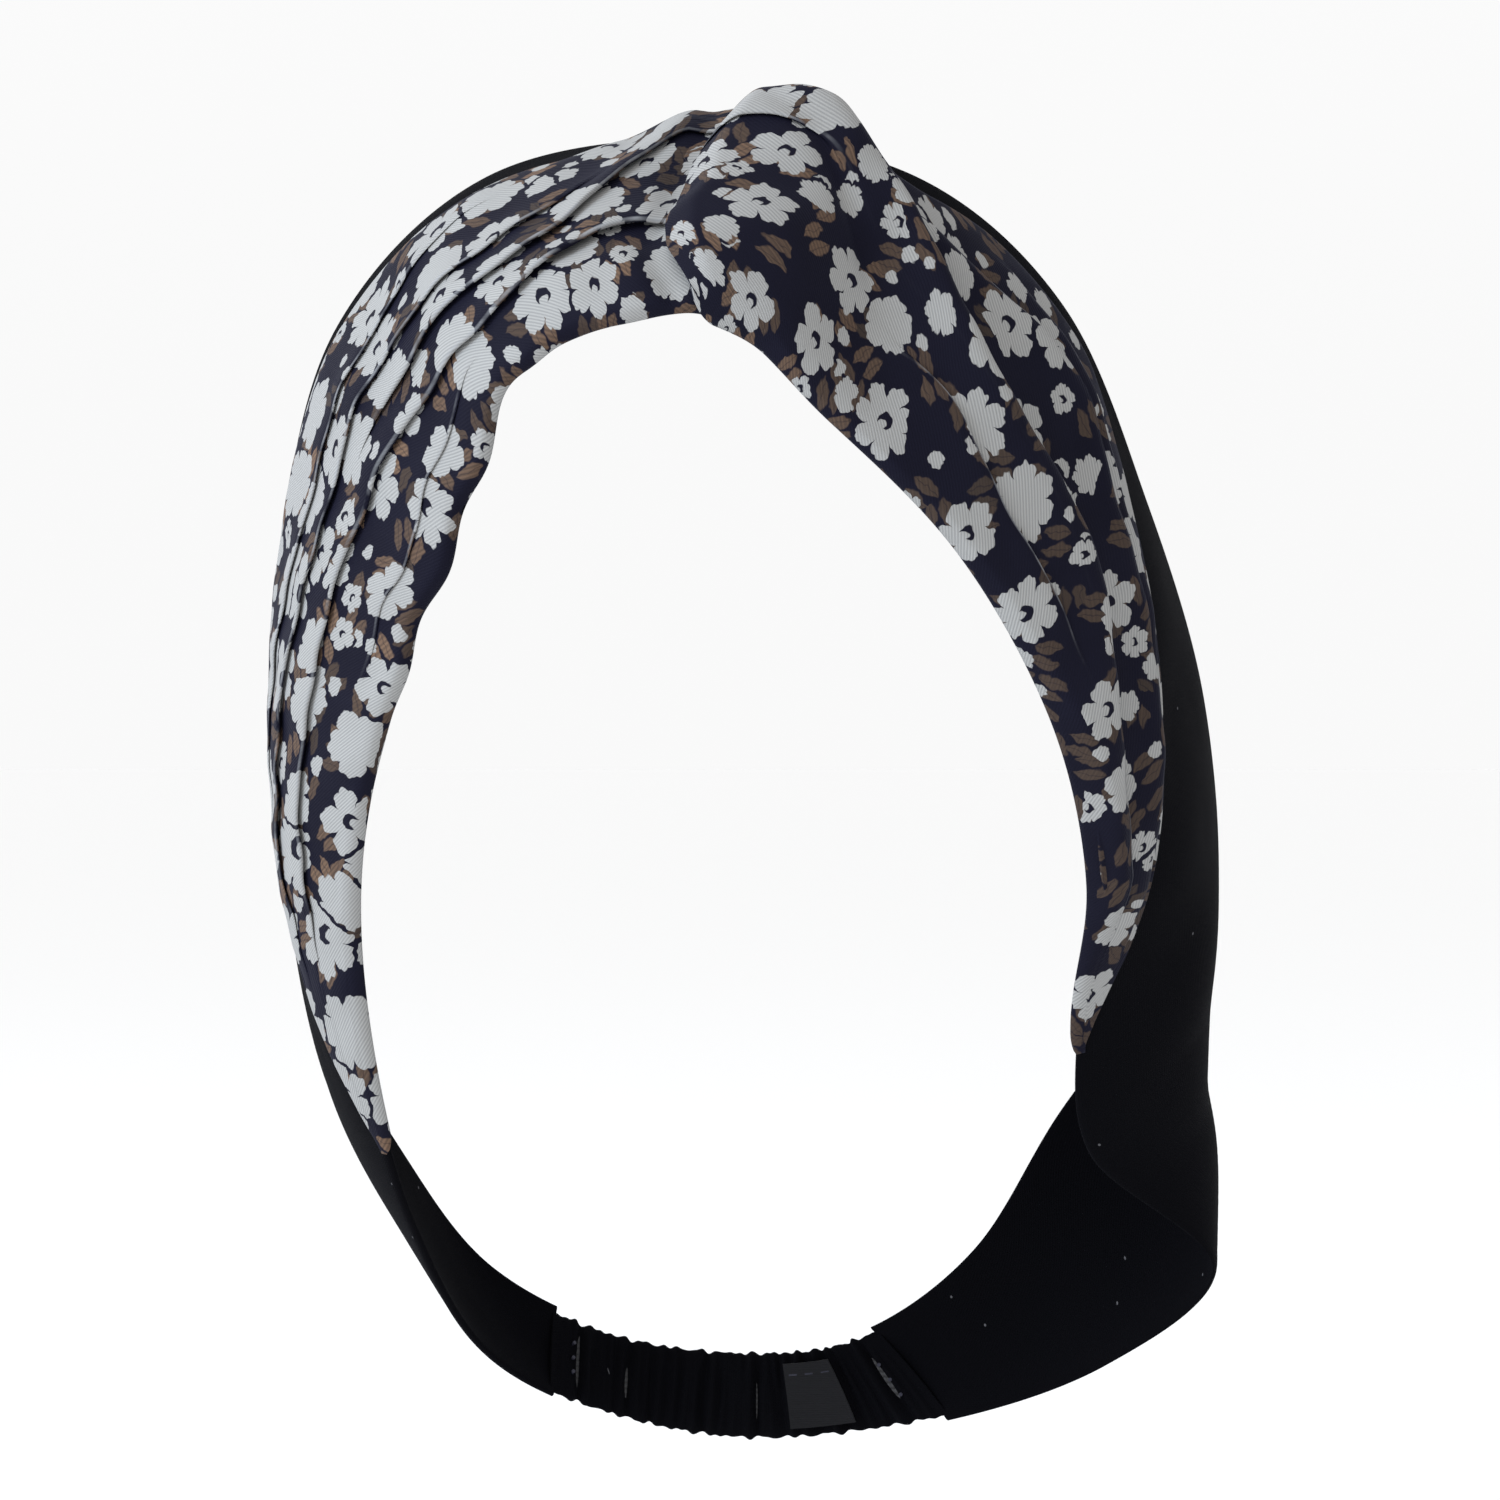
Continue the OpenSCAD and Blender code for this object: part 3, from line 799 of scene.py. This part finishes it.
class Nodes:
    """Short names for the shader nodes that the cloth patterns are written in."""

    def __init__(self, name):
        self.material = bpy.data.materials.new(name)
        self.material.use_nodes = True
        self.tree = self.material.node_tree
        self.shader = self.tree.nodes["Principled BSDF"]

    def node(self, kind, **settings):
        made = self.tree.nodes.new(kind)
        for key, value in settings.items():
            setattr(made, key, value)
        return made

    def put(self, socket, value):
        if isinstance(value, bpy.types.NodeSocket):
            self.tree.links.new(value, socket)
        else:
            socket.default_value = value

    def math(self, operation, a, b=0.0, c=0.0):
        made = self.node("ShaderNodeMath", operation=operation)
        for socket, value in zip(made.inputs, (a, b, c)):
            self.put(socket, value)
        return made.outputs[0]

    def times(self, a, b):
        return self.math("MULTIPLY", a, b)

    def plus(self, a, b):
        return self.math("ADD", a, b)

    def vector(self, operation, a, b=(0, 0, 0), scale=None):
        made = self.node("ShaderNodeVectorMath", operation=operation)
        self.put(made.inputs[0], a)
        self.put(made.inputs[1], b)
        if scale is not None:
            self.put(made.inputs["Scale"], scale)
        return made.outputs[1 if operation in ("LENGTH", "DISTANCE") else 0]

    def split(self, vector):
        made = self.node("ShaderNodeSeparateXYZ")
        self.put(made.inputs[0], vector)
        return made.outputs

    def join(self, x, y, z=0.0):
        made = self.node("ShaderNodeCombineXYZ")
        for socket, value in zip(made.inputs, (x, y, z)):
            self.put(socket, value)
        return made.outputs[0]

    def mix(self, factor, a, b):
        made = self.node("ShaderNodeMix", data_type="RGBA")
        self.put(made.inputs[0], factor)
        self.put(made.inputs[6], a)
        self.put(made.inputs[7], b)
        return made.outputs[2]

    def noise(self, vector, scale, detail=2.0, roughness=0.5):
        made = self.node("ShaderNodeTexNoise")
        self.put(made.inputs["Vector"], vector)
        made.inputs["Scale"].default_value = scale
        made.inputs["Detail"].default_value = detail
        made.inputs["Roughness"].default_value = roughness
        return made.outputs

    def cells(self, vector, scale, randomness, feature="F1"):
        made = self.node("ShaderNodeTexVoronoi", voronoi_dimensions="2D", feature=feature)
        self.put(made.inputs["Vector"], vector)
        made.inputs["Scale"].default_value = scale
        made.inputs["Randomness"].default_value = randomness
        return made.outputs

    def below(self, value, limit, soft):
        """1 where value is below limit, with a soft border."""
        made = self.node("ShaderNodeMapRange")
        self.put(made.inputs["Value"], self.math("SUBTRACT", value, limit))
        made.inputs["From Min"].default_value = soft
        made.inputs["From Max"].default_value = -soft
        return made.outputs[0]

    def ribs(self, value, pitch):
        """Rounded ribs, 0 to 1, one for each pitch of the value."""
        wave = self.math("SINE", self.times(value, math.pi / pitch))
        return self.math("ABSOLUTE", wave)

    def cloth_mm(self):
        """The cloth's own flat coordinates, in millimetres."""
        made = self.node("ShaderNodeUVMap", uv_map="cloth")
        return self.vector("SCALE", made.outputs[0], scale=1000.0)

    def bump(self, height, distance, strength=1.0):
        made = self.node("ShaderNodeBump")
        self.put(made.inputs["Height"], height)
        made.inputs["Distance"].default_value = distance
        made.inputs["Strength"].default_value = strength
        self.put(self.shader.inputs["Normal"], made.outputs[0])

    def set(self, **values):
        for key, value in values.items():
            self.shader.inputs[key.replace("_", " ")].default_value = value


# Where the print changes along the cloth, as (millimetres, value) ends: the share of cells
# in flower, the factor on the flowers' size, and the least share of the dark leaf colour
CROWDED, SPARSE = (-200.0, 1.35), (130.0, 0.42)
LARGE, USUAL = (-195.0, 1.22), (-110.0, 0.97)
BRIGHT_LEAVES, DARK_LEAVES = (-5.0, 0.0), (75.0, 0.85)
# The layers of the print; pitch, size and shift in millimetres
BIG = dict(pitch=16.6, size=(5.9, 8.0), spread=0.64, chance=1.1)
BIG_SHAPE = dict(petals=5.0, notch=(0.2, 0.55), centre=0.23)
SMALL = dict(pitch=8.6, size=(2.7, 4.5), spread=0.8, chance=0.8,
             petals=5.0, notch=(0.2, 0.45), centre=0.27, shift=(6.1, 31.7, 0))
BUDS = dict(pitch=5.9, size=(1.4, 2.3), spread=0.8, chance=0.3,
            petals=2.0, notch=(0.0, 0.3), centre=0.0, shift=(77.0, 13.0, 0))
LEAVES = dict(pitch=7.4, size=3.2, chance=0.6)
LEAF_SHIFT = (41.0, 3.0, 0)
FLOWER_GAP = 0.9
# How soft the printed borders are, in millimetres
FLOWER_SOFT = 0.09
CENTRE_SOFT = 0.08
# Share of the flowers without a dark centre
SOLID_SHARE = 0.45
FULL_TURN = 6.283


def along_cloth(p, at, left, right):
    """A value that changes along the cloth between two (millimetres, value) ends."""
    made = p.node("ShaderNodeMapRange")
    p.put(made.inputs["Value"], p.split(at)[1])
    made.inputs["From Min"].default_value = left[0]
    made.inputs["From Max"].default_value = right[0]
    made.inputs["To Min"].default_value = left[1]
    made.inputs["To Max"].default_value = right[1]
    return made.outputs[0]


def grows(p, random, at, chance):
    """1 where a cell holds a motif; they crowd towards the left end of the cloth."""
    share = p.times(along_cloth(p, at, CROWDED, SPARSE), chance)
    return p.math("LESS_THAN", random, share)


def flower_radius(p, random, at, size):
    """A flower's radius in mm; flowers are a little larger towards the left end."""
    radius = p.plus(size[0], p.times(random, size[1] - size[0]))
    return p.times(radius, along_cloth(p, at, LARGE, USUAL))


def room_beside_big(p, at):
    """Free distance from a point to the rim of the big flower whose cell it is in, in mm."""
    cell = p.cells(at, 1.0 / BIG["pitch"], BIG["spread"])
    random = p.split(cell["Color"])
    radius = flower_radius(p, random[1], cell["Position"], BIG["size"])
    present = grows(p, random[0], cell["Position"], BIG["chance"])
    distance = p.vector("DISTANCE", at, cell["Position"])
    return p.math("SUBTRACT", distance, p.times(radius, present))


def petal_outline(p, away, random, petals, notch):
    """A flower's outline as a share of its radius: petals with small teeth."""
    x, y, _ = p.split(away)
    angle = p.plus(p.math("ARCTAN2", y, x), p.times(random[0], FULL_TURN))
    count = p.plus(petals, p.math("FLOOR", p.times(random[1], 2.99)))
    turn = p.times(angle, count)
    lobe = p.math("ABSOLUTE", p.math("COSINE", p.times(turn, 0.5)))
    lobe = p.math("POWER", lobe, 0.5)
    teeth = p.math("ABSOLUTE", p.math("COSINE", p.times(turn, 1.5)))
    depth = p.plus(notch[0], p.times(random[2], notch[1] - notch[0]))
    shape = p.times(p.math("SUBTRACT", lobe, 1.0), depth)
    shape = p.plus(shape, p.times(teeth, 0.07))
    return p.plus(shape, 0.93)


def dark_centre(p, away, distance, radius, centre):
    """Mask of a dark dot with a light bean in it, to one side."""
    dot = p.below(distance, p.times(radius, centre), CENTRE_SOFT)
    bean = p.vector("ADD", away, p.join(p.times(radius, 0.13), 0.25))
    bean_size = p.times(radius, centre * 0.62)
    hole = p.below(p.vector("LENGTH", bean), bean_size, CENTRE_SOFT)
    return p.math("MAXIMUM", p.math("SUBTRACT", dot, hole), 0.0)


def flowers(p, place, pitch, size, spread, petals, notch, chance, centre, shift=None):
    """Masks of one layer of flowers: the flowers, their dark centres, and a wider halo.

    pitch is the distance between flowers, size their radius range, notch the depth range
    between petals, and chance the share of cells that hold a flower; sizes are in mm. A
    layer with a shift is moved by it, and its flowers grow only where no big one is."""
    if shift:
        place = p.vector("ADD", place, shift)
    cell = p.cells(place, 1.0 / pitch, spread)
    border = p.cells(place, 1.0 / pitch, spread, "DISTANCE_TO_EDGE")["Distance"]
    random = p.split(cell["Color"])
    away = p.vector("SUBTRACT", place, cell["Position"])
    distance = p.vector("LENGTH", away)
    at = p.vector("SUBTRACT", cell["Position"], shift or (0, 0, 0))
    radius = flower_radius(p, random[1], at, size)
    present = grows(p, random[0], at, chance)
    if shift:
        room = room_beside_big(p, at)
        fits = p.math("GREATER_THAN", room, p.times(radius, 0.75))
        present = p.times(present, fits)
    inside = p.math("GREATER_THAN", border, FLOWER_GAP / 2 / pitch)
    outline = p.times(radius, petal_outline(p, away, random, petals, notch))
    mask = p.times(p.below(distance, outline, FLOWER_SOFT), inside)
    halo = p.below(distance, p.plus(outline, FLOWER_GAP), FLOWER_SOFT)
    dark = dark_centre(p, away, distance, radius, centre)
    dark = p.times(dark, p.math("GREATER_THAN", random[2], SOLID_SHARE))
    return [p.times(m, present) for m in (mask, dark, halo)]


def leaves(p, place, pitch, size, chance):
    """Mask of brown leaf pairs and a random value for each pair."""
    cell = p.cells(place, 1.0 / pitch, 0.75)
    random = p.split(cell["Color"])
    away = p.vector("SUBTRACT", place, cell["Position"])
    turn = p.times(random[0], FULL_TURN)
    x, y, _ = p.split(away)
    cosine, sine = p.math("COSINE", turn), p.math("SINE", turn)
    across = p.math("SUBTRACT", p.times(x, cosine), p.times(y, sine))
    forward = p.plus(p.times(x, sine), p.times(y, cosine))
    side = p.math("SUBTRACT", p.math("ABSOLUTE", across), size * 0.52)
    lean = p.plus(forward, p.times(side, 0.5))
    length = p.math("DIVIDE", lean, size)
    width = p.math("DIVIDE", side, size * 0.44)
    point = p.plus(p.times(length, length), p.math("ABSOLUTE", width))
    present = p.math("LESS_THAN", random[2], chance)
    vein = p.times(p.below(p.math("ABSOLUTE", side), 0.10, 0.08), 0.45)
    leaf = p.times(p.below(point, 1.0, 0.12), p.math("SUBTRACT", 1.0, vein))
    return p.times(leaf, present), random[1]


NAVY = (0.0048, 0.0046, 0.0110, 1.0)
NAVY_LIGHT = (0.0075, 0.0075, 0.0175, 1.0)
WHITE = (0.36, 0.36, 0.352, 1.0)
# The white print is painted darker between the twill's ribs: painted shade of the weave's relief
WHITE_PAINTED_SHADE = (0.255, 0.255, 0.255, 1.0)
BROWN = (0.168, 0.105, 0.070, 1.0)
OLIVE = (0.040, 0.030, 0.026, 1.0)
# Lighter colour on the folds' edges: part print wear, part painted highlight where light catches
# them
WORN_PRINT_AND_SHEEN = (0.33, 0.34, 0.36, 1.0)
WEAR_SHEEN_SHARE = 0.85
JERSEY_DARK, JERSEY_LIGHT = (0.0014, 0.0014, 0.0022, 1.0), (0.0026, 0.0026, 0.0038, 1.0)
LINT = (0.10, 0.10, 0.11, 1.0)
THREAD_DARK, THREAD_LIGHT = (0.006, 0.006, 0.012, 1.0), (0.024, 0.024, 0.045, 1.0)
ELASTIC_DARK, ELASTIC_LIGHT = (0.008, 0.008, 0.009, 1.0), (0.028, 0.028, 0.031, 1.0)
SATIN_DARK, SATIN_LIGHT = (0.0035, 0.0035, 0.0045, 1.0), (0.009, 0.009, 0.011, 1.0)
# Pitches of the weaves and knits, in millimetres
TWILL_PITCH = 0.62
HATCH_PITCH = 0.95
WALE_PITCH, COURSE_PITCH = 0.55, 0.48
LINT_PITCH = 9.0
RIB_PITCH, PICK_PITCH = 1.1, 0.7
SATIN_PITCH = 0.35


def twill(p, place, pitch):
    """Diagonal ribs of the weave, 0 to 1."""
    x, y, _ = p.split(place)
    line = p.plus(x, p.times(y, 0.8))
    wave = p.math("SINE", p.times(line, 2 * math.pi / (pitch * 1.28)))
    return p.plus(0.5, p.times(wave, 0.5))


def bloom_masks(p, place):
    """Masks of all flowers and buds, and of the flowers' dark centres."""
    big, big_dark, big_halo = flowers(p, place, **BIG, **BIG_SHAPE)
    small, small_dark, small_halo = flowers(p, place, **SMALL)
    buds, _, _ = flowers(p, place, **BUDS)
    free = p.math("SUBTRACT", 1.0, big_halo)
    small = p.times(small, free)
    small_dark = p.times(small_dark, free)
    taken = p.math("MAXIMUM", big_halo, small_halo)
    buds = p.times(buds, p.math("SUBTRACT", 1.0, taken))
    bloom = p.math("MAXIMUM", p.math("MAXIMUM", big, small), buds)
    dark = p.math("MAXIMUM", big_dark, small_dark)
    return p.times(bloom, p.math("SUBTRACT", 1.0, dark)), dark


def leaf_colour(p, flat, place, tone):
    """Hatched brown, darker in some leaves and towards the right end of the cloth."""
    darker = along_cloth(p, place, BRIGHT_LEAVES, DARK_LEAVES)
    darker = p.math("MAXIMUM", p.math("POWER", tone, 0.8), darker)
    hatch = p.times(twill(p, flat, HATCH_PITCH), 0.5)
    return p.mix(hatch, p.mix(darker, BROWN, OLIVE), OLIVE)


def print_colour(p, flat, weave):
    """Off-white flowers and brown leaves on navy, on slightly uneven cloth."""
    wobble = p.vector("SUBTRACT", p.noise(flat, 0.5, 1.0)[1], (0.5, 0.5, 0.5))
    place = p.vector("ADD", flat, p.vector("SCALE", wobble, scale=1.6))
    bloom, dark = bloom_masks(p, place)
    leaf, tone = leaves(p, p.vector("ADD", place, LEAF_SHIFT), **LEAVES)
    ground = p.mix(p.noise(flat, 0.06, 2.0)[0], NAVY, NAVY_LIGHT)
    colour = p.mix(leaf, ground, leaf_colour(p, flat, place, tone))
    colour = p.mix(dark, colour, ground)
    # The white print gets painted shade between the twill's ribs
    return p.mix(bloom, colour, p.mix(weave, WHITE_PAINTED_SHADE, WHITE))


def with_worn_creases(p, flat, colour):
    """The colour, with broken lighter lines on the folds' edges: print wear and a painted
    highlight.
    """
    worn = p.node("ShaderNodeAttribute", attribute_name="worn").outputs["Fac"]
    patchy = p.below(p.noise(flat, 0.16, 2.0)[0], 0.53, 0.14)
    patchy = p.times(p.times(worn, patchy), WEAR_SHEEN_SHARE)
    return p.mix(patchy, colour, WORN_PRINT_AND_SHEEN)


def printed_cloth():
    """Printed navy twill with a faint blue sheen."""
    p = Nodes("printed_twill")
    flat = p.cloth_mm()
    weave = twill(p, flat, TWILL_PITCH)
    colour = with_worn_creases(p, flat, print_colour(p, flat, weave))
    p.put(p.shader.inputs["Base Color"], colour)
    grain = p.noise(flat, 3.5, 3.0)[0]
    height = p.plus(p.times(weave, 0.6), p.times(grain, 0.5))
    p.bump(height, 0.00008, 0.8)
    p.put(p.shader.inputs["Roughness"], p.plus(0.62, p.times(grain, 0.16)))
    p.set(Sheen_Weight=0.03, Sheen_Roughness=0.35, Sheen_Tint=(0.55, 0.62, 1.0, 1.0))
    p.set(Specular_IOR_Level=0.07)
    return p.material


def black_jersey(name, on_cloth=True):
    """Near-black fine knit with a few specks of lint."""
    p = Nodes(name)
    flat = p.cloth_mm() if on_cloth else place_mm(p)
    x, y, _ = p.split(flat)
    wale = p.ribs(x, WALE_PITCH)
    course = p.ribs(p.plus(y, p.times(wale, 0.28)), COURSE_PITCH)
    knit = p.plus(p.times(wale, 0.6), p.times(course, 0.4))
    fuzz = p.noise(flat, 2.2, 3.0)[0]
    cell = p.cells(flat, 1.0 / LINT_PITCH, 1.0)
    speck = p.below(cell["Distance"], 0.028, 0.006)
    rare = p.math("LESS_THAN", p.split(cell["Color"])[0], 0.06)
    lint = p.times(speck, rare)
    cloth = p.mix(fuzz, JERSEY_DARK, JERSEY_LIGHT)
    p.put(p.shader.inputs["Base Color"], p.mix(lint, cloth, LINT))
    p.put(p.shader.inputs["Roughness"], p.plus(0.78, p.times(fuzz, 0.15)))
    p.bump(p.plus(knit, p.times(fuzz, 0.6)), 0.00012, 0.7)
    p.set(Sheen_Weight=0.006, Sheen_Roughness=0.5, Sheen_Tint=(0.7, 0.75, 1.0, 1.0))
    p.set(Specular_IOR_Level=0.035)
    return p.material


def place_mm(p):
    """Object coordinates in millimetres, for the CAD nodes, which have no cloth UVs."""
    made = p.node("ShaderNodeTexCoord")
    return p.vector("SCALE", made.outputs["Object"], scale=1000.0)


def sewing_thread():
    """Twisted navy-black polyester thread."""
    p = Nodes("twisted_thread")
    x, y, z = p.split(place_mm(p))
    line = p.plus(p.plus(x, y), p.times(z, 1.6))
    twist = p.math("ABSOLUTE", p.math("SINE", p.times(line, 7.0)))
    p.put(p.shader.inputs["Base Color"], p.mix(twist, THREAD_DARK, THREAD_LIGHT))
    p.put(p.shader.inputs["Roughness"], p.plus(0.42, p.times(twist, 0.2)))
    p.bump(twist, 0.0001)
    return p.material


def woven_elastic():
    """Charcoal braided elastic with lengthwise ribs of covered rubber."""
    p = Nodes("braided_elastic")
    x, _, z = p.split(place_mm(p))
    rib = p.ribs(z, RIB_PITCH)
    pick = p.ribs(x, PICK_PITCH)
    weave = p.plus(p.times(rib, 0.7), p.times(pick, 0.3))
    p.put(p.shader.inputs["Base Color"], p.mix(weave, ELASTIC_DARK, ELASTIC_LIGHT))
    p.put(p.shader.inputs["Roughness"], p.math("SUBTRACT", 0.7, p.times(rib, 0.15)))
    p.bump(weave, 0.0002)
    return p.material


def label_satin():
    """Blank charcoal satin ribbon with fine cross ribs."""
    p = Nodes("charcoal_satin")
    place = place_mm(p)
    rib = p.ribs(p.split(place)[2], SATIN_PITCH)
    grain = p.noise(place, 1.8, 2.0)[0]
    tone = p.times(p.plus(rib, grain), 0.5)
    p.put(p.shader.inputs["Base Color"], p.mix(tone, SATIN_DARK, SATIN_LIGHT))
    p.put(p.shader.inputs["Roughness"], p.plus(0.34, p.times(grain, 0.2)))
    p.bump(rib, 0.00006)
    p.set(Specular_IOR_Level=0.12)
    return p.material


def paint(piece, material):
    """Gives a piece or a CAD node one material in all its slots."""
    if not piece.data.materials:
        piece.data.materials.append(material)
    for slot in piece.material_slots:
        slot.material = material


# ---------------- making the headband

make_camera()
make_lights()
make_floor()

print_cloth = printed_cloth()
knit = black_jersey("black_knit")
thread = sewing_thread()

strip_right = make_strip_right()
strip_left = make_strip_left()
panel_right = make_panel(1)
panel_left = make_panel(-1)
casing = make_casing()

for piece in (strip_right, strip_left):
    paint(piece, print_cloth)
for piece in (panel_right, panel_left, casing):
    paint(piece, knit)
for node in ("knot_tack", "edge_seam_left", "edge_seam_right", "side_seam_left",
             "side_seam_right", "casing_seam_left", "casing_seam_right",
             "elastic_tack_left", "elastic_tack_right", "label_stitches"):
    paint(bpy.data.objects[node], thread)
paint(bpy.data.objects["crown_seam_tape"], black_jersey("black_knit_tape", on_cloth=False))
paint(bpy.data.objects["nape_elastic"], woven_elastic())
paint(bpy.data.objects["care_label"], label_satin())
